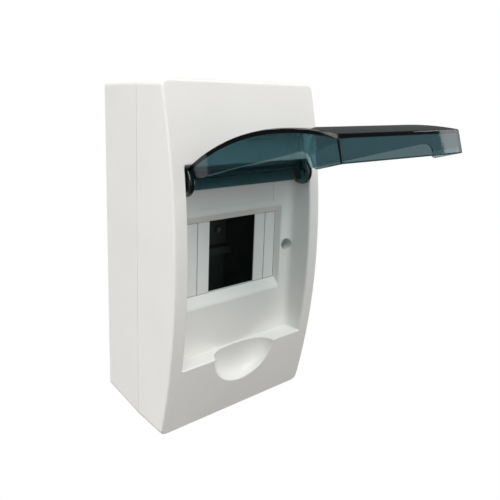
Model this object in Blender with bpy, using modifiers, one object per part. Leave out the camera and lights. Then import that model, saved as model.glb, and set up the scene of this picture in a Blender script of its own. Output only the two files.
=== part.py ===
"""DC combiner box: a four-module surface-mounted DIN-rail enclosure with a hinged tinted door.

Units are metres, +Z is up. X is the width (0 on the mid-plane), the wall face lies at Y = 0
and the front faces -Y. Depths below are distances in front of the wall face, so Y = -depth.
Heights are taken from the bottom edge while building; at the end everything is moved down, so
the origin is the point of the wall face straight behind the centre of the window.
The door is modelled shut and then turned about its hinge pins to its stored, open pose.
"""
import math

import bpy
import bmesh
from mathutils import Matrix, Vector

# ------------------------------------------------------------------ driving dimensions
WIDTH = 0.1147            # over the parting line
HEIGHT = 0.2102           # top edge, measured like every height from the foot of the front
FOOT_Z = -0.0007          # the bottom wall bows this far below that datum
WALL = 0.0022             # shell wall
GAP = 0.0003              # running gap between touching pieces
PART_DEPTH = 0.0435       # depth of the parting line between base and cover
BACK_INSET = 0.0009       # how much smaller the back face is than the parting line
DRAFT = 0.022             # side draft of the cover, m per m
CORNER_R = 0.0040         # corner radius in the front view
EDGE_R = 0.0013           # rounding between the sides and the bowed front
TOP_R = 0.0020            # rounding between the top and the bowed front

FRONT_DEPTH = 0.0837      # deepest point of the bowed front
FRONT_MID_Z = 0.1043
FRONT_R = 0.3915          # radius of the bowed front

RECESS_HW = 0.0476        # half width of the door recess at the front
RECESS_Z0 = 0.0435        # ledge under the door
RECESS_Z1 = 0.1640
FLOOR_DEPTH = 0.0668      # recess floor
FLOOR_T = 0.0022
RECESS_FILLET = 0.0035    # soft corner between the floor and the side walls
RECESS_LIP_R = 0.0012     # rounded front edge of the recess

WIN_Z = 0.1034            # centre line of the window and of the rail
WIN_HW = 0.0362           # 72 mm clear for four modules
WIN_HH = 0.0231
WIN_DEPTH = 0.0627        # plane of the blanking strips
STEP_HW = 0.0378          # outer opening of the sloped frame round the window
STEP_TOP = 0.1311
STEP_BOTTOM = 0.0739

BLANK_W = 0.0090
BLANK_T = 0.0010
OPEN_HW = 0.0180          # two modules left open in the middle

PANEL_HW = 0.0296         # plain sunk label panel above the window
PANEL_Z0 = 0.1350
PANEL_Z1 = 0.1490
PANEL_SINK = 0.0004

SCREW_X = 0.0428          # cover screws, on the window centre line
WELL_R = 0.0040
BOSS_R = 0.0054
WELL_BOTTOM = 0.0535
BOSS_END = 0.0446

SCOOP_HW = 0.0245         # finger scoop in the lower front
SCOOP_H = 0.0224
SCOOP_BACK = 0.0682
SCOOP_LIP_R = 0.0012      # rounded edge where the scoop meets the front

PIN_DEPTH = 0.0755        # hinge pin axis
PIN_Z = 0.1544
PIN_R = 0.0020
PIN_HOLE_R = 0.0024
OPEN_DEG = 106.5          # stored pose: how far the door is swung up from shut

DOOR_HW = 0.0446
DOOR_T = 0.0018           # side and foot walls
DOOR_BOW_T = 0.0022       # bowed front sheet
DOOR_R = 0.1511           # radius of the bowed door
DOOR_MID_Z = 0.10274
DOOR_FOOT_DEPTH = 0.0790  # outer corner at the foot of the shut door
DOOR_Z0 = 0.0445
DOOR_Z1 = 0.1606
DOOR_RIM_DEPTH = 0.0758   # free edge of the side walls
DOOR_LATCH_DEPTH = 0.0674 # free edge of the foot wall and its deep corners
DOOR_LATCH_Z = 0.0606
HINGE_WALL_Z = 0.1506     # solid bar across the door beside the hinge
HINGE_WALL_T = 0.0056
HINGE_WALL_DEPTH = 0.0703
EAR_R = 0.0082
EAR_X0 = 0.0440
EAR_X1 = 0.0470

CHASSIS_HW = 0.0366       # black device bay behind the window
CHASSIS_Z0 = 0.0550
CHASSIS_Z1 = 0.1520
CHASSIS_BACK = 0.0080
CHASSIS_FRONT = 0.0570
CHASSIS_T = 0.0016
RAIL_HH = 0.0175
RAIL_DEPTH = 0.0175
BAY_FLOOR = 0.0108        # floor of the trough between the rail edges
BAY_SCREW_X = 0.0265

BAR_LEN = 0.0560          # terminal bars above and below the bay
BAR_H = 0.0070
BAR_T = 0.0085
BAR_SCREWS = 5
BAR_PITCH = 0.0100
BAR_DEPTH = 0.0260
NEUTRAL_Z = 0.1740
EARTH_Z = 0.0330

KNOCK_R = 0.0105
KNOCK_X = 0.0270
KNOCK_DEPTH = 0.0210

COLLECTION = "dc_combiner_box"


# ------------------------------------------------------------------ scene and materials
def clean_scene():
    for obj in list(bpy.data.objects):
        bpy.data.objects.remove(obj, do_unlink=True)
    for coll in list(bpy.data.collections):
        bpy.data.collections.remove(coll)


def new_collection(name):
    coll = bpy.data.collections.new(name)
    bpy.context.scene.collection.children.link(coll)
    return coll


def material(name, colour, roughness, metallic=0.0, alpha=1.0):
    mat = bpy.data.materials.new(name)
    mat.use_nodes = True
    shader = mat.node_tree.nodes["Principled BSDF"]
    shader.inputs["Base Color"].default_value = (*colour, 1.0)
    shader.inputs["Roughness"].default_value = roughness
    shader.inputs["Metallic"].default_value = metallic
    shader.inputs["Alpha"].default_value = alpha
    return mat


clean_scene()
PARTS = new_collection(COLLECTION)
CUTTERS = new_collection("cutters")

SHELL = material("white_abs", (0.80, 0.79, 0.77), 0.42)
SHELL_BLANK = material("white_abs_blank", (0.78, 0.78, 0.76), 0.45)
TINT = material("smoked_teal_pc", (0.05, 0.14, 0.15), 0.08, alpha=0.6)
BLACK = material("black_abs", (0.012, 0.013, 0.013), 0.5)
STEEL = material("zinc_steel", (0.55, 0.55, 0.53), 0.35, metallic=1.0)
BRASS = material("brass", (0.72, 0.55, 0.24), 0.35, metallic=1.0)
BLUE = material("blue_pa", (0.03, 0.12, 0.45), 0.5)
GREEN = material("green_pa", (0.05, 0.30, 0.10), 0.5)


# ------------------------------------------------------------------ mesh helpers
def make_object(name, bm, mat, coll):
    bmesh.ops.recalc_face_normals(bm, faces=bm.faces)
    mesh = bpy.data.meshes.new(name)
    bm.to_mesh(mesh)
    bm.free()
    obj = bpy.data.objects.new(name, mesh)
    coll.objects.link(obj)
    if mat is not None:
        mesh.materials.append(mat)
    if coll is CUTTERS:
        obj.hide_render = True
        obj.display_type = "WIRE"
    return obj


def front_depth(z):
    depth = FRONT_DEPTH - (z - FRONT_MID_Z) ** 2 / (2.0 * FRONT_R)
    over = min(max(z - (HEIGHT - TOP_R), 0.0), TOP_R)
    return depth - (TOP_R - math.sqrt(TOP_R ** 2 - over ** 2))


def door_depth(z, inset=0.0):
    centre = DOOR_FOOT_DEPTH - math.sqrt(DOOR_R ** 2 - (DOOR_Z0 - DOOR_MID_Z) ** 2)
    return centre + math.sqrt((DOOR_R - inset) ** 2 - (z - DOOR_MID_Z) ** 2)


def ring(half_width, z0, z1, radius, depth, side_steps=30, corner_steps=5):
    """Rounded rectangle as a closed loop; half_width and depth may be functions."""
    hw_at = half_width if callable(half_width) else (lambda d: half_width)
    depth_at = depth if callable(depth) else (lambda z: depth)
    right = []
    for i in range(corner_steps + 1):
        a = -math.pi / 2 + i * math.pi / 2 / corner_steps
        right.append((radius * (math.cos(a) - 1.0), z0 + radius * (1.0 + math.sin(a))))
    for i in range(1, side_steps):
        t = i / side_steps
        right.append((0.0, z0 + radius + (z1 - z0 - 2 * radius) * t))
    for i in range(corner_steps + 1):
        a = i * math.pi / 2 / corner_steps
        right.append((radius * (math.cos(a) - 1.0), z1 - radius * (1.0 - math.sin(a))))
    right = [(hw_at(depth_at(z)) + dx, depth_at(z), z) for dx, z in right]
    loop = [Vector((x, -d, z)) for x, d, z in right]
    loop += [Vector((-x, -d, z)) for x, d, z in reversed(right)]
    return loop


def ring_solid(name, rings, mat=None, coll=CUTTERS):
    """Loft equal rings; both ends are closed by level strips from side to side."""
    bm = bmesh.new()
    loops = [[bm.verts.new(p) for p in loop] for loop in rings]
    count = len(loops[0])
    for low, high in zip(loops, loops[1:]):
        for i in range(count):
            j = (i + 1) % count
            bm.faces.new((low[i], low[j], high[j], high[i]))
    for loop in (loops[0], loops[-1]):
        for i in range(count // 2 - 1):
            bm.faces.new((loop[i], loop[i + 1], loop[count - 2 - i], loop[count - 1 - i]))
    return make_object(name, bm, mat, coll)


def extrude_profile(name, profile, x0, x1, mat=None, coll=CUTTERS):
    """Prism along X from a closed list of (depth, z) points."""
    bm = bmesh.new()
    near = [bm.verts.new((x0, -d, z)) for d, z in profile]
    far = [bm.verts.new((x1, -d, z)) for d, z in profile]
    bm.faces.new(near)
    bm.faces.new(list(reversed(far)))
    for i in range(len(profile)):
        j = (i + 1) % len(profile)
        bm.faces.new((near[j], near[i], far[i], far[j]))
    return make_object(name, bm, mat, coll)


def box(name, x0, x1, d0, d1, z0, z1, mat=None, coll=CUTTERS):
    bm = bmesh.new()
    bmesh.ops.create_cube(bm, size=1.0)
    bmesh.ops.scale(bm, vec=(x1 - x0, d1 - d0, z1 - z0), verts=bm.verts)
    bmesh.ops.translate(bm, vec=((x0 + x1) / 2, -(d0 + d1) / 2, (z0 + z1) / 2), verts=bm.verts)
    return make_object(name, bm, mat, coll)


AXES = {
    "x": Matrix.Rotation(math.pi / 2, 4, "Y"),
    "y": Matrix.Rotation(math.pi / 2, 4, "X"),
    "z": Matrix.Identity(4),
}


def cylinder(name, centre, radius, length, axis, segments=32, mat=None, coll=CUTTERS, tip=None):
    bm = bmesh.new()
    bmesh.ops.create_cone(bm, cap_ends=True, segments=segments, radius1=radius,
                          radius2=radius if tip is None else tip, depth=length,
                          matrix=Matrix.Translation(centre) @ AXES[axis])
    return make_object(name, bm, mat, coll)


def boolean(obj, cutter, operation="DIFFERENCE"):
    mod = obj.modifiers.new(cutter.name, "BOOLEAN")
    mod.operation = operation
    mod.solver = "EXACT"
    mod.object = cutter


def bevel(obj, width, segments=2, angle=40.0):
    mod = obj.modifiers.new("edge_round", "BEVEL")
    mod.width = width
    mod.segments = segments
    mod.limit_method = "ANGLE"
    mod.angle_limit = math.radians(angle)
    mod.harden_normals = False


def shade(obj, angle=32.0):
    for poly in obj.data.polygons:
        poly.use_smooth = True
    obj.data.set_sharp_from_angle(angle=math.radians(angle))


def at(x, depth, z):
    return Vector((x, -depth, z))


# ------------------------------------------------------------------ base shell
def base_hw(depth):
    return WIDTH / 2 - BACK_INSET * max(0.0, 1.0 - depth / PART_DEPTH)


def build_base():
    tb = BACK_INSET
    foot = FOOT_Z + tb
    rings = [
        ring(base_hw(0) - 0.0010, foot + 0.0010, HEIGHT - tb - 0.0010, CORNER_R, 0.0),
        ring(base_hw(0) - 0.0003, foot + 0.0003, HEIGHT - tb - 0.0003, CORNER_R, 0.0003),
        ring(base_hw(0), foot, HEIGHT - tb, CORNER_R, 0.0010),
        ring(base_hw(PART_DEPTH), FOOT_Z, HEIGHT, CORNER_R, PART_DEPTH - GAP),
    ]
    base = ring_solid("base_shell", rings, SHELL, PARTS)
    inner_r = CORNER_R - 0.0010

    # raised lip that centres the cover
    off = WALL + GAP
    lip = ring_solid("base_lip", [
        ring(WIDTH / 2 - off, FOOT_Z + off, HEIGHT - off, inner_r, 0.0300),
        ring(WIDTH / 2 - off, FOOT_Z + off, HEIGHT - off, inner_r, PART_DEPTH + 0.0030),
    ])
    boolean(base, lip, "UNION")
    thick = off + 0.0013
    cavity = ring_solid("base_cavity", [
        ring(base_hw(0) - WALL, WALL + foot, HEIGHT - WALL - tb, inner_r, WALL),
        ring(base_hw(0.0340) - WALL, WALL + FOOT_Z + 0.0002, HEIGHT - WALL - 0.0002, inner_r, 0.0340),
        ring(WIDTH / 2 - thick, FOOT_Z + thick, HEIGHT - thick, inner_r - 0.0006, 0.0365),
        ring(WIDTH / 2 - thick, FOOT_Z + thick, HEIGHT - thick, inner_r - 0.0006, PART_DEPTH + 0.0050),
    ])
    boolean(base, cavity)

    # posts for the cover screws
    for side in (-1, 1):
        length = BOSS_END - GAP - WALL / 2
        post = cylinder("cover_post", at(side * SCREW_X, WALL / 2 + length / 2, WIN_Z),
                        0.0046, length, "y", 28)
        boolean(base, post, "UNION")
        pilot = cylinder("cover_pilot", at(side * SCREW_X, 0.0320, WIN_Z), 0.0022, 0.0300, "y", 20)
        boolean(base, pilot)

    # posts and pilots for the bay
    for sx in (-1, 1):
        length = CHASSIS_BACK - GAP - WALL / 2
        post = cylinder("bay_post", at(sx * BAY_SCREW_X, WALL / 2 + length / 2, WIN_Z),
                        0.0040, length, "y", 24)
        boolean(base, post, "UNION")
        pilot = cylinder("bay_pilot", at(sx * BAY_SCREW_X, 0.0062, WIN_Z), 0.0017, 0.0072, "y", 16)
        boolean(base, pilot)

    # fixing slots through the back wall
    for sx in (-1, 1):
        for z in (0.0440, 0.1662):
            slot = box("wall_slot", sx * 0.0440 - 0.0024, sx * 0.0440 + 0.0024,
                       -0.002, 0.006, z - 0.0060, z + 0.0060)
            bevel(slot, 0.0022, 3, 60)
            boolean(base, slot)

    # scored knock-outs, top and bottom walls and back wall
    for sx in (-1, 1):
        for z in (FOOT_Z, HEIGHT):
            knock_groove(base, at(sx * KNOCK_X, KNOCK_DEPTH, z), KNOCK_R, "z")
    for z in (0.0261, 0.1841):
        knock_groove(base, at(0.0, 0.0, z), 0.0120, "y")
    shade(base)
    return base


def knock_groove(target, centre, radius, axis):
    groove = cylinder("knock_groove", centre, radius, 0.0026, axis, 36)
    core = cylinder("knock_core", centre, radius - 0.0009, 0.0040, axis, 36)
    boolean(groove, core)
    boolean(target, groove)


# ------------------------------------------------------------------ cover shell
def cover_hw(inset=0.0):
    return lambda depth: WIDTH / 2 - DRAFT * (depth - PART_DEPTH) - inset


def build_cover():
    rings = [ring(cover_hw(), FOOT_Z, HEIGHT, CORNER_R, PART_DEPTH)]
    for deg in (0.0, 30.0, 60.0, 90.0):
        a = math.radians(deg)
        inset = EDGE_R * (1.0 - math.cos(a))
        drop = EDGE_R * (1.0 - math.sin(a))
        rings.append(ring(cover_hw(inset), FOOT_Z + 0.0004 + inset, HEIGHT - inset, CORNER_R,
                          lambda z, d=drop: front_depth(z) - d))
    cover = ring_solid("cover_shell", rings, SHELL, PARTS)

    inner_r = CORNER_R - 0.0010
    inner = ring_solid("cover_cavity", [
        ring(cover_hw(WALL), FOOT_Z + WALL, HEIGHT - WALL, inner_r, PART_DEPTH - 0.003),
        ring(cover_hw(WALL), FOOT_Z + WALL + 0.0004, HEIGHT - WALL, inner_r,
             lambda z: front_depth(z) - WALL),
    ])
    boolean(cover, inner)

    # tub that carries the recess
    tub_back = FLOOR_DEPTH - FLOOR_T - (FLOOR_DEPTH - WIN_DEPTH)
    t = WALL
    tub = ring_solid("recess_tub", [
        ring(RECESS_HW + t, RECESS_Z0 - t, RECESS_Z1 + t, 0.0030, tub_back),
        ring(RECESS_HW + t, RECESS_Z0 - t, RECESS_Z1 + t, 0.0030, lambda z: front_depth(z) - 0.0010),
    ])
    boolean(cover, tub, "UNION")
    boolean(cover, scoop_body("scoop_shell", WALL, 0.0010), "UNION")
    for side in (-1, 1):
        length = tub_back + 0.001 - BOSS_END
        boss = cylinder("screw_boss", at(side * SCREW_X, BOSS_END + length / 2, WIN_Z),
                        BOSS_R, length, "y", 28)
        boolean(cover, boss, "UNION")

    # recess with a soft corner along the floor
    rings = []
    for deg in (0.0, 22.5, 45.0, 67.5, 90.0):
        a = math.radians(deg)
        rings.append(ring(RECESS_HW - 0.0006 - RECESS_FILLET * (1.0 - math.sin(a)), RECESS_Z0, RECESS_Z1,
                          0.0012, FLOOR_DEPTH + RECESS_FILLET * (1.0 - math.cos(a))))
    for deg in (0.0, 30.0, 60.0, 90.0):
        a = math.radians(deg)
        flare = RECESS_LIP_R * (1.0 - math.cos(a))
        rings.append(ring(RECESS_HW + flare, RECESS_Z0 - 0.3 * flare, RECESS_Z1 + flare, 0.0012,
                          lambda z, d=RECESS_LIP_R * (1.0 - math.sin(a)): front_depth(z) - d))
    rings.append(ring(RECESS_HW + 2 * RECESS_LIP_R, RECESS_Z0 - 0.3 * RECESS_LIP_R,
                      RECESS_Z1 + 2 * RECESS_LIP_R, 0.0012, lambda z: front_depth(z) + 0.0050))
    boolean(cover, ring_solid("recess_cut", rings))

    # sloped frame and window
    z_mid = (STEP_TOP + STEP_BOTTOM) / 2
    step_hh = (STEP_TOP - STEP_BOTTOM) / 2
    step = ring_solid("window_step", [
        ring(WIN_HW + 0.0004, WIN_Z - WIN_HH, WIN_Z + WIN_HH, 0.0006, WIN_DEPTH, 4, 2),
        ring(STEP_HW - 0.0003, z_mid - step_hh + 0.0012, z_mid + step_hh - 0.0004, 0.0012,
             FLOOR_DEPTH - 0.0006, 4, 2),
        ring(STEP_HW, z_mid - step_hh + 0.0003, z_mid + step_hh, 0.0012, FLOOR_DEPTH - 0.0002, 4, 2),
        ring(STEP_HW + 0.0005, z_mid - step_hh - 0.0006, z_mid + step_hh + 0.0006, 0.0012,
             FLOOR_DEPTH + 0.00005, 4, 2),
        ring(STEP_HW + 0.0005, z_mid - step_hh - 0.0006, z_mid + step_hh + 0.0006, 0.0012,
             FLOOR_DEPTH + 0.002, 4, 2),
    ])
    boolean(cover, step)
    boolean(cover, box("window_cut", -WIN_HW, WIN_HW, 0.0550, 0.0650,
                       WIN_Z - WIN_HH, WIN_Z + WIN_HH))

    # plain sunk label panel
    panel = box("label_panel", -PANEL_HW, PANEL_HW, FLOOR_DEPTH - PANEL_SINK, FLOOR_DEPTH + 0.001,
                PANEL_Z0, PANEL_Z1)
    boolean(cover, panel)

    # cover screw wells
    for side in (-1, 1):
        well = cylinder("screw_well", at(side * SCREW_X, (WELL_BOTTOM + 0.072) / 2, WIN_Z),
                        WELL_R, 0.072 - WELL_BOTTOM, "y", 32)
        boolean(cover, well)
        shaft = cylinder("screw_shaft", at(side * SCREW_X, 0.0500, WIN_Z), 0.0022, 0.0160, "y", 20)
        boolean(cover, shaft)

    boolean(cover, scoop_body("scoop_bowl", 0.0, 0.0, SCOOP_LIP_R))

    # hinge pin holes through the recess side walls, and room for the ears to turn
    for side in (-1, 1):
        sweep = cylinder("ear_sweep", at(side * 0.0452, PIN_DEPTH, PIN_Z), EAR_R + 0.00035,
                         0.0057, "x", 64)
        boolean(cover, sweep)
        hole = cylinder("pin_hole", at(side * (RECESS_HW + WALL / 2), PIN_DEPTH, PIN_Z),
                        PIN_HOLE_R, 0.0048, "x", 24)
        boolean(cover, hole)
    shade(cover)
    return cover


def scoop_body(name, skin, front_drop, lip_r=0.0):
    """Rounded bowl sunk square to the bowed front; skin thickens it, front_drop stops it short."""
    half, height = SCOOP_HW - lip_r + skin, SCOOP_H - lip_r + skin
    sunk = front_depth(RECESS_Z0) - SCOOP_BACK + skin
    levels = []
    steps = 13
    for i in range(1, steps + 1):
        reach = math.sin(0.5 * math.pi * i / steps)
        levels.append((reach, 0.0, sunk * (1.0 - reach ** 2.7) ** (1.0 / 2.1)))
    deep = lip_r if lip_r else front_drop
    levels = [(r, g, max(d, deep)) for r, g, d in levels]
    for deg in (30.0, 60.0, 90.0):
        if lip_r:
            a = math.radians(deg)
            levels.append((1.0, lip_r * (1.0 - math.cos(a)), lip_r * (1.0 - math.sin(a))))
    if lip_r:
        levels.append((1.0, lip_r * 1.6, -0.0040))
    bm = bmesh.new()
    tip = bm.verts.new(at(0.0, front_depth(RECESS_Z0) - sunk, RECESS_Z0))
    count = 60
    loops = []
    for reach, grow, depth in levels:
        loop = []
        for k in range(count):
            a = 2.0 * math.pi * k / count
            x = (half * reach + grow) * math.cos(a)
            z = RECESS_Z0 + (height * reach + grow) * math.sin(a)
            loop.append(bm.verts.new(at(x, front_depth(z) - depth, z)))
        loops.append(loop)
    for k in range(count):
        bm.faces.new((tip, loops[0][k], loops[0][(k + 1) % count]))
    for low, high in zip(loops, loops[1:]):
        for k in range(count):
            j = (k + 1) % count
            bm.faces.new((low[k], low[j], high[j], high[k]))
    last = loops[-1]
    for k in range(1, count // 2):
        bm.faces.new((last[k - 1], last[k], last[count - 1 - k], last[(count - k) % count]))
    body = make_object(name, bm, None, CUTTERS)
    ceiling = RECESS_Z0 if skin else RECESS_Z0 + 0.0060
    keep = box(name + "_keep", -0.04, 0.04, 0.05, 0.11, RECESS_Z0 - 0.04, ceiling)
    boolean(body, keep, "INTERSECT")
    return body


# ------------------------------------------------------------------ door
def door_profile():
    steps = 30
    arc = []
    for i in range(steps + 1):
        z = DOOR_Z0 + (DOOR_Z1 - DOOR_Z0) * i / steps
        arc.append((door_depth(z), z))
    end = DOOR_RIM_DEPTH
    back = [
        (end + 0.0004, DOOR_Z1), (end, DOOR_Z1 - 0.0006), (end, DOOR_LATCH_Z + 0.0046),
        (end - 0.0005, DOOR_LATCH_Z + 0.0026), (end - 0.0016, DOOR_LATCH_Z + 0.0010),
        (end - 0.0034, DOOR_LATCH_Z + 0.0001), (end - 0.0048, DOOR_LATCH_Z),
        (DOOR_LATCH_DEPTH + 0.0010, DOOR_LATCH_Z - 0.0006),
        (DOOR_LATCH_DEPTH, DOOR_LATCH_Z - 0.0018), (DOOR_LATCH_DEPTH, DOOR_Z0),
    ]
    return arc + back


def door_hollow():
    steps = 30
    z_lo, z_hi = DOOR_Z0 + DOOR_T, HINGE_WALL_Z
    arc = []
    for i in range(steps + 1):
        z = z_lo + (z_hi - z_lo) * i / steps
        arc.append((door_depth(z, DOOR_BOW_T), z))
    return arc + [(0.060, z_hi), (0.060, z_lo)]


def build_door():
    door = extrude_profile("door", door_profile(), -DOOR_HW, DOOR_HW, TINT, PARTS)
    bevel(door, 0.0005, 2, 40)
    inner_hw = DOOR_HW - DOOR_T
    hollow = extrude_profile("door_hollow", door_hollow(), -inner_hw, inner_hw)
    boolean(door, hollow)

    # hinge bar, and the lip left beyond it
    z_wall = HINGE_WALL_Z + HINGE_WALL_T
    lip = extrude_profile("door_lip_hollow", [
        (door_depth(z_wall, DOOR_BOW_T), z_wall), (door_depth(DOOR_Z1, DOOR_BOW_T), DOOR_Z1),
        (door_depth(DOOR_Z1 + 0.003, DOOR_BOW_T), DOOR_Z1 + 0.003), (0.060, DOOR_Z1 + 0.003),
        (0.060, z_wall)], -inner_hw, inner_hw)
    boolean(door, lip)
    wall = box("door_hinge_bar", -inner_hw - 0.0009, inner_hw + 0.0009, HINGE_WALL_DEPTH,
               door_depth(HINGE_WALL_Z) - 0.0012, HINGE_WALL_Z, z_wall)
    boolean(door, wall, "UNION")

    for side in (-1, 1):
        x0, x1 = EAR_X0, EAR_X1
        ear = cylinder("door_ear", at(side * (x0 + x1) / 2, PIN_DEPTH, PIN_Z),
                       EAR_R, x1 - x0, "x", 48)
        bevel(ear, 0.0006, 2, 40)
        boolean(door, ear, "UNION")
        pin_x1 = RECESS_HW + 0.0018
        pin = cylinder("door_pin", at(side * (EAR_X1 - 0.0010 + pin_x1) / 2, PIN_DEPTH, PIN_Z),
                       PIN_R, pin_x1 - EAR_X1 + 0.0010, "x", 24)
        boolean(door, pin, "UNION")
    shade(door)

    pivot = at(0.0, PIN_DEPTH, PIN_Z)
    swing = Matrix.Rotation(math.radians(-OPEN_DEG), 4, "X")
    for obj in [door] + [m.object for m in door.modifiers if m.type == "BOOLEAN"]:
        obj.data.transform(Matrix.Translation(-pivot))
        obj.matrix_world = Matrix.Translation(pivot) @ swing
    return door


# ------------------------------------------------------------------ blanking strips
def build_blanks():
    index = 0
    for x0 in (-2 * OPEN_HW, -OPEN_HW - BLANK_W, OPEN_HW, OPEN_HW + BLANK_W):
        index += 1
        x1 = x0 + BLANK_W
        lo, hi = x0 + GAP / 2 + 0.0001, x1 - GAP / 2 - 0.0001
        name = "blank_%d" % index
        front = WIN_DEPTH - 0.0002
        strip = box(name, lo, hi, front - BLANK_T, front, WIN_Z - WIN_HH + GAP,
                    WIN_Z + WIN_HH - GAP, SHELL_BLANK, PARTS)
        bevel(strip, 0.0002, 1, 40)
        rear = WIN_DEPTH - FLOOR_T - GAP
        for end in (-1, 1):
            near = WIN_Z + end * (WIN_HH - 0.0030)
            edge = WIN_Z + end * (WIN_HH - 0.0010)
            tip = WIN_Z + end * (WIN_HH + 0.0022)
            stem = box(name + "_stem", lo + 0.0024, hi - 0.0024, rear - 0.0012, front - 0.0004,
                       min(near, edge), max(near, edge))
            tongue = box(name + "_tongue", lo + 0.0024, hi - 0.0024, rear - 0.0012, rear,
                         min(near, tip), max(near, tip))
            boolean(stem, tongue, "UNION")
            boolean(strip, stem, "UNION")
        shade(strip)


# ------------------------------------------------------------------ device bay and terminals
def build_chassis():
    chassis = box("device_bay", -CHASSIS_HW, CHASSIS_HW, CHASSIS_BACK, CHASSIS_FRONT,
                  CHASSIS_Z0, CHASSIS_Z1, BLACK, PARTS)
    bevel(chassis, 0.0008, 1, 40)
    boolean(chassis, box("bay_hollow", -CHASSIS_HW + CHASSIS_T, CHASSIS_HW - CHASSIS_T,
                         CHASSIS_BACK + CHASSIS_T, 0.0700, 0.0400, 0.1700))
    # rail profile moulded across the bay
    x = CHASSIS_HW - CHASSIS_T / 2
    web = box("rail_web", -x, x, CHASSIS_BACK + CHASSIS_T / 2, RAIL_DEPTH - 0.0002,
              WIN_Z - RAIL_HH + 0.0045, WIN_Z + RAIL_HH - 0.0045)
    boolean(chassis, web, "UNION")
    flange = box("rail_flange", -x, x, RAIL_DEPTH - 0.0012, RAIL_DEPTH,
                 WIN_Z - RAIL_HH, WIN_Z + RAIL_HH)
    boolean(chassis, flange, "UNION")
    trough = box("rail_trough", -x + 0.0008, x - 0.0008, BAY_FLOOR, 0.0300,
                 WIN_Z - RAIL_HH + 0.0058, WIN_Z + RAIL_HH - 0.0058)
    boolean(chassis, trough)
    for sx in (-1, 1):
        hole = cylinder("bay_screw_hole", at(sx * BAY_SCREW_X, BAY_FLOOR - 0.0010, WIN_Z),
                        0.0019, 0.0080, "y", 20)
        boolean(chassis, hole)
    shade(chassis)
    for index, sx in ((1, -1), (2, 1)):
        make_screw("bay_screw_%d" % index, sx * BAY_SCREW_X, BAY_FLOOR + GAP, WIN_Z, 0.0031, 0.0018,
                   0.0014, 0.0070)


def make_screw(name, x, seat, z, head_r, head_t, shank_r, shank_len):
    """Pan-head screw with a cross recess, pointing at the wall; seat is the depth under the head."""
    screw = cylinder(name, at(x, seat + head_t / 2, z), head_r, head_t, "y", 24,
                     STEEL, PARTS, tip=head_r * 0.86)
    shank = cylinder(name + "_shank", at(x, seat - shank_len / 2 + 0.0003, z), shank_r,
                     shank_len + 0.0006, "y", 16)
    boolean(screw, shank, "UNION")
    half, wide = head_r * 0.62, head_r * 0.16
    for a, b in ((half, wide), (wide, half)):
        slot = box(name + "_cross", x - a, x + a, seat + head_t * 0.45, seat + head_t + 0.002,
                   z - b, z + b)
        boolean(screw, slot)
    shade(screw)
    return screw


def build_terminals():
    for name, zc, holder_mat in (("neutral", NEUTRAL_Z, BLUE), ("earth", EARTH_Z, GREEN)):
        half = BAR_LEN / 2
        holder = box(name + "_holder", -half - 0.0045, half + 0.0045, WALL + GAP, BAR_DEPTH - GAP,
                     zc - BAR_H / 2, zc + BAR_H / 2, holder_mat, PARTS)
        bevel(holder, 0.0006, 1, 40)
        window = box(name + "_holder_cut", -half + 0.004, half - 0.004, 0.0070, 0.0200,
                     zc - 0.02, zc + 0.02)
        boolean(holder, window)
        shade(holder)
        bar = box(name + "_bar", -half, half, BAR_DEPTH, BAR_DEPTH + BAR_T,
                  zc - BAR_H / 2, zc + BAR_H / 2, BRASS, PARTS)
        bevel(bar, 0.0003, 1, 40)
        for i in range(BAR_SCREWS):
            x = (i - (BAR_SCREWS - 1) / 2) * BAR_PITCH
            wire = cylinder(name + "_wire_hole", at(x, BAR_DEPTH + 0.0032, zc), 0.0022, 0.02, "z", 20)
            boolean(bar, wire)
            tap = cylinder(name + "_tap", at(x, BAR_DEPTH + BAR_T - 0.0020, zc), 0.0021, 0.0090, "y", 16)
            boolean(bar, tap)
        shade(bar)
        for i in range(BAR_SCREWS):
            x = (i - (BAR_SCREWS - 1) / 2) * BAR_PITCH
            build_terminal_screw("%s_screw_%d" % (name, i + 1), x, zc)


def build_terminal_screw(name, x, z):
    d0, d1 = BAR_DEPTH + 0.0036, BAR_DEPTH + BAR_T + 0.0016
    screw = cylinder(name, at(x, (d0 + d1) / 2, z), 0.0018, d1 - d0, "y", 20, STEEL, PARTS)
    slot = box(name + "_slot", x - 0.003, x + 0.003, d1 - 0.0010, d1 + 0.002, z - 0.0003, z + 0.0003)
    boolean(screw, slot)
    shade(screw)


def build_cover_screws():
    for side, tag in ((-1, "left"), (1, "right")):
        make_screw("cover_screw_" + tag, side * SCREW_X, WELL_BOTTOM + GAP, WIN_Z,
                   0.0034, 0.0024, 0.0018, 0.0300)


def place_on_wall_face():
    drop = Matrix.Translation((0.0, 0.0, -WIN_Z))
    for obj in bpy.data.objects:
        if obj.location.length > 0.0:
            obj.matrix_world = drop @ obj.matrix_world
        else:
            obj.data.transform(drop)


build_base()
build_cover()
build_door()
build_blanks()
build_chassis()
build_terminals()
build_cover_screws()
place_on_wall_face()
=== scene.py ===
"""Looks for the DC combiner box: materials, floor, lights and camera around the CAD frame."""
import math

import bpy
import bmesh
from mathutils import Matrix, Vector


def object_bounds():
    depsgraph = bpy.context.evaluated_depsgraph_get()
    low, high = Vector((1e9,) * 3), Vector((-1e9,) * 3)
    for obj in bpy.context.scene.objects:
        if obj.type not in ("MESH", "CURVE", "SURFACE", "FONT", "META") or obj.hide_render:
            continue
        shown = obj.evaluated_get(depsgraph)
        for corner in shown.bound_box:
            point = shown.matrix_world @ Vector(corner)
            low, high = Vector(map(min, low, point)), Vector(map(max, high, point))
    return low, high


FLOOR_RADIUS = 0.30
FLOOR_DROP = 0.60              # the floor lies this far below the box
LAMP_DISTANCE = 1.5

# background strengths: what lights the box, what is seen directly, what is seen through the door
ROOM_LIGHT = 0.11
SEEN_DIRECT = 1.0
SEEN_THROUGH = 0.32

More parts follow.
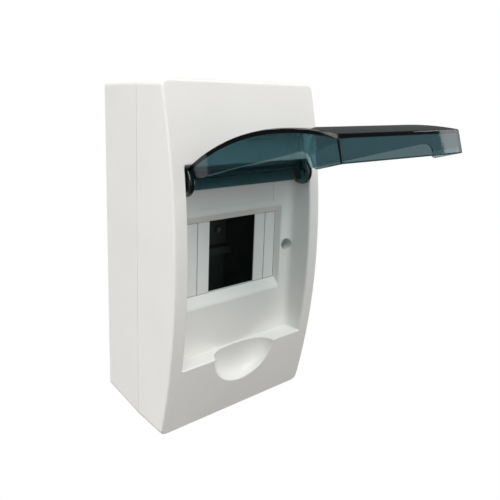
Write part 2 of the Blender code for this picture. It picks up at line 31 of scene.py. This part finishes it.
# name, direction towards the lamp, irradiance, spread in degrees
LAMPS = (
    ("overhead", (-0.16, -0.44, 0.88), 3.0, 48.0),
    ("left_rear", (-0.80, 0.45, 0.40), 2.55, 60.0),
    ("right", (0.97, -0.05, 0.12), 1.1, 50.0),
    ("front_fill", (-0.10, -0.97, 0.20), 0.75, 60.0),
)

CAMERA_AT = (-0.2022, -0.3131, 0.0999)
CAMERA_YAW, CAMERA_PITCH, CAMERA_ROLL = 38.63, -11.40, 1.64      # degrees
CAMERA_LENS = 37.9
CAMERA_SHIFT = (0.037, -0.1026)

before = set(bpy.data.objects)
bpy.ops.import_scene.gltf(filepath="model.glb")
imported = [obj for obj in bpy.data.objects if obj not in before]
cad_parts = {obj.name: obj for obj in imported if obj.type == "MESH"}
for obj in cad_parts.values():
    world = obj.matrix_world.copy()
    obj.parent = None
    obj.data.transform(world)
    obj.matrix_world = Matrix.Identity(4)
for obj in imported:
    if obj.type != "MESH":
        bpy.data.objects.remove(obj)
cad_box = [list(map(float, corner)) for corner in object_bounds()]


# ------------------------------------------------------------------ node helpers
def new_material(name):
    mat = bpy.data.materials.new(name)
    mat.use_nodes = True
    tree = mat.node_tree
    tree.nodes.clear()
    out = tree.nodes.new("ShaderNodeOutputMaterial")
    shader = tree.nodes.new("ShaderNodeBsdfPrincipled")
    tree.links.new(shader.outputs["BSDF"], out.inputs["Surface"])
    return mat, tree, shader, out


def coords(tree, scale=(1.0, 1.0, 1.0)):
    tex = tree.nodes.new("ShaderNodeTexCoord")
    mapping = tree.nodes.new("ShaderNodeMapping")
    mapping.inputs["Scale"].default_value = scale
    tree.links.new(tex.outputs["Object"], mapping.inputs["Vector"])
    return mapping.outputs["Vector"]


def noise(tree, vector, scale, detail=3.0, roughness=0.5):
    node = tree.nodes.new("ShaderNodeTexNoise")
    node.inputs["Scale"].default_value = scale
    node.inputs["Detail"].default_value = detail
    node.inputs["Roughness"].default_value = roughness
    tree.links.new(vector, node.inputs["Vector"])
    return node.outputs["Fac"]


def ramp(tree, fac, stops):
    node = tree.nodes.new("ShaderNodeValToRGB")
    elements = node.color_ramp.elements
    while len(elements) < len(stops):
        elements.new(0.5)
    for element, (pos, colour) in zip(elements, stops):
        element.position = pos
        element.color = (*colour, 1.0)
    tree.links.new(fac, node.inputs["Fac"])
    return node.outputs["Color"]


def remap(tree, fac, low, high):
    node = tree.nodes.new("ShaderNodeMapRange")
    node.inputs["From Min"].default_value = 0.3
    node.inputs["From Max"].default_value = 0.7
    node.inputs["To Min"].default_value = low
    node.inputs["To Max"].default_value = high
    tree.links.new(fac, node.inputs["Value"])
    return node.outputs["Result"]


def add_bump(tree, shader, height, strength, distance):
    node = tree.nodes.new("ShaderNodeBump")
    node.inputs["Strength"].default_value = strength
    node.inputs["Distance"].default_value = distance
    tree.links.new(height, node.inputs["Height"])
    tree.links.new(node.outputs["Normal"], shader.inputs["Normal"])


# ------------------------------------------------------------------ materials
def moulded_plastic(name, colour, spread, rough, bump=0.12):
    """Satin moulded plastic: faint tone drift, fine spark-eroded grain, slow roughness changes."""
    mat, tree, shader, _ = new_material(name)
    vec = coords(tree)
    tone = noise(tree, vec, 22.0, 2.0)
    low = tuple(c * (1.0 - spread) for c in colour)
    high = tuple(min(1.0, c * (1.0 + spread)) for c in colour)
    tree.links.new(ramp(tree, tone, [(0.35, low), (0.65, high)]), shader.inputs["Base Color"])
    tree.links.new(remap(tree, noise(tree, vec, 55.0, 4.0), rough[0], rough[1]),
                   shader.inputs["Roughness"])
    add_bump(tree, shader, noise(tree, vec, 2600.0, 2.0), bump, 0.00008)
    shader.inputs["Specular IOR Level"].default_value = 0.5
    return mat


def smoked_clear(name, tint, lamp_tint, absorb, density):
    """Clear teal polycarbonate, tinted in its depth, so its edges and long paths go almost black.

    Lamps reach what is behind it through a tinted stand-in.
    """
    mat, tree, shader, out = new_material(name)
    vec = coords(tree)
    shader.inputs["Base Color"].default_value = (*tint, 1.0)
    shader.inputs["Transmission Weight"].default_value = 1.0
    shader.inputs["IOR"].default_value = 1.5
    shader.inputs["Specular IOR Level"].default_value = 0.4
    tree.links.new(remap(tree, noise(tree, vec, 60.0, 3.0), 0.02, 0.05), shader.inputs["Roughness"])
    clear = tree.nodes.new("ShaderNodeBsdfTransparent")
    clear.inputs["Color"].default_value = (*lamp_tint, 1.0)
    path = tree.nodes.new("ShaderNodeLightPath")
    mix = tree.nodes.new("ShaderNodeMixShader")
    tree.links.new(path.outputs["Is Shadow Ray"], mix.inputs["Fac"])
    tree.links.new(shader.outputs["BSDF"], mix.inputs[1])
    tree.links.new(clear.outputs["BSDF"], mix.inputs[2])
    tree.links.new(mix.outputs["Shader"], out.inputs["Surface"])
    depth = tree.nodes.new("ShaderNodeVolumeAbsorption")
    depth.inputs["Color"].default_value = (*absorb, 1.0)
    depth.inputs["Density"].default_value = density
    tree.links.new(depth.outputs["Volume"], out.inputs["Volume"])
    return mat


def metal(name, colour, rough):
    """Plated or turned metal, its fine marks drawn out along the height."""
    mat, tree, shader, _ = new_material(name)
    vec = coords(tree, (1.0, 1.0, 12.0))
    shade = noise(tree, vec, 300.0, 5.0, 0.6)
    dark = tuple(c * 0.82 for c in colour)
    tree.links.new(ramp(tree, shade, [(0.3, dark), (0.7, colour)]), shader.inputs["Base Color"])
    tree.links.new(remap(tree, noise(tree, vec, 700.0, 4.0), rough - 0.07, rough + 0.1),
                   shader.inputs["Roughness"])
    shader.inputs["Metallic"].default_value = 1.0
    add_bump(tree, shader, noise(tree, vec, 1800.0, 3.0), 0.1, 0.00005)
    return mat


WHITE = moulded_plastic("white_abs_moulded", (0.80, 0.786, 0.765), 0.012, (0.40, 0.48))
STRIP = moulded_plastic("white_abs_strip", (0.79, 0.786, 0.77), 0.010, (0.42, 0.50))
BLACK = moulded_plastic("black_abs_moulded", (0.065, 0.080, 0.076), 0.10, (0.40, 0.52), bump=0.2)
BLUE = moulded_plastic("blue_polyamide", (0.03, 0.11, 0.42), 0.05, (0.42, 0.55))
GREEN = moulded_plastic("green_polyamide", (0.05, 0.29, 0.10), 0.05, (0.42, 0.55))
TINTED = smoked_clear("teal_polycarbonate", (0.67, 0.78, 0.82), (0.96, 0.83, 0.80),
                      (0.12, 0.45, 0.49), 420.0)
ZINC = metal("zinc_plated_steel", (0.58, 0.58, 0.56), 0.32)
BRASS = metal("turned_brass", (0.74, 0.56, 0.25), 0.30)


def dress(prefixes, mat):
    for name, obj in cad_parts.items():
        if name.startswith(prefixes):
            obj.data.materials.clear()
            obj.data.materials.append(mat)


dress(("base_shell", "cover_shell"), WHITE)
dress(("blank_",), STRIP)
dress(("door",), TINTED)
dress(("device_bay",), BLACK)
dress(("bay_screw", "cover_screw", "neutral_screw", "earth_screw"), ZINC)
dress(("neutral_bar", "earth_bar"), BRASS)
dress(("neutral_holder",), BLUE)
dress(("earth_holder",), GREEN)


# ------------------------------------------------------------------ floor, world, lights
def build_floor():
    """A pale disc below the box, out of the photograph's view."""
    low = Vector(cad_box[0])
    bm = bmesh.new()
    bmesh.ops.create_circle(bm, cap_ends=True, segments=96, radius=FLOOR_RADIUS,
                            matrix=Matrix.Translation((0.0, 0.0, low.z - FLOOR_DROP)))
    mesh = bpy.data.meshes.new("floor")
    bm.to_mesh(mesh)
    bm.free()
    floor = bpy.data.objects.new("floor", mesh)
    bpy.context.scene.collection.objects.link(floor)
    mat, tree, shader, _ = new_material("pale_floor")
    vec = coords(tree)
    tree.links.new(ramp(tree, noise(tree, vec, 1.5, 2.0), [(0.3, (0.93, 0.93, 0.93)),
                                                          (0.7, (0.95, 0.95, 0.95))]),
                   shader.inputs["Base Color"])
    shader.inputs["Roughness"].default_value = 0.9
    mesh.materials.append(mat)


def background(tree, colour, strength):
    node = tree.nodes.new("ShaderNodeBackground")
    node.inputs["Color"].default_value = (*colour, 1.0)
    node.inputs["Strength"].default_value = strength
    return node.outputs["Background"]


def build_world():
    """White behind the box, dim through the door, and a soft even light on everything else."""
    world = bpy.data.worlds.new("studio")
    bpy.context.scene.world = world
    world.use_nodes = True
    tree = world.node_tree
    tree.nodes.clear()
    out = tree.nodes.new("ShaderNodeOutputWorld")
    path = tree.nodes.new("ShaderNodeLightPath")
    shade = background(tree, (1.0, 0.99, 0.975), ROOM_LIGHT)
    for ray, strength in (("Is Transmission Ray", SEEN_THROUGH), ("Is Camera Ray", SEEN_DIRECT)):
        mix = tree.nodes.new("ShaderNodeMixShader")
        tree.links.new(path.outputs[ray], mix.inputs["Fac"])
        tree.links.new(shade, mix.inputs[1])
        tree.links.new(background(tree, (1.0, 1.0, 1.0), strength), mix.inputs[2])
        shade = mix.outputs["Shader"]
    tree.links.new(shade, out.inputs["Surface"])


def soft_lamp(name, towards, irradiance, spread_deg):
    """A very broad lamp, far enough away to light the whole box evenly."""
    data = bpy.data.lights.new(name, "SUN")
    data.energy = irradiance
    data.angle = math.radians(spread_deg)
    data.color = (1.0, 0.995, 0.985)
    lamp = bpy.data.objects.new(name, data)
    lamp.location = Vector(towards).normalized() * LAMP_DISTANCE
    lamp.rotation_euler = Vector(towards).to_track_quat("Z", "Y").to_euler()
    lamp.visible_transmission = False      # its disc isn't seen through the door
    bpy.context.scene.collection.objects.link(lamp)


def build_camera():
    """The photograph's view: a short lens close to the box, from its left and a little above."""
    data = bpy.data.cameras.new("camera")
    data.sensor_width = 36.0
    data.lens = CAMERA_LENS
    data.shift_x, data.shift_y = CAMERA_SHIFT
    data.clip_start = 0.01
    data.clip_end = 50.0
    cam = bpy.data.objects.new("camera", data)
    yaw, pitch, roll = (math.radians(a) for a in (CAMERA_YAW, CAMERA_PITCH, CAMERA_ROLL))
    forward = Vector((math.sin(yaw) * math.cos(pitch), math.cos(yaw) * math.cos(pitch),
                      math.sin(pitch)))
    right = Vector((math.cos(yaw), -math.sin(yaw), 0.0))
    up = right.cross(forward)
    lean = math.asin(math.sin(roll) / math.cos(pitch))
    right, up = (right * math.cos(lean) + up * math.sin(lean),
                 up * math.cos(lean) - right * math.sin(lean))
    turn = Matrix((right, up, -forward)).transposed()
    cam.matrix_world = Matrix.Translation(CAMERA_AT) @ turn.to_4x4()
    bpy.context.scene.collection.objects.link(cam)
    bpy.context.scene.camera = cam


build_floor()
build_world()
for lamp_settings in LAMPS:
    soft_lamp(*lamp_settings)
build_camera()

view = bpy.context.scene.view_settings
view.view_transform = "Standard"
view.look = "None"
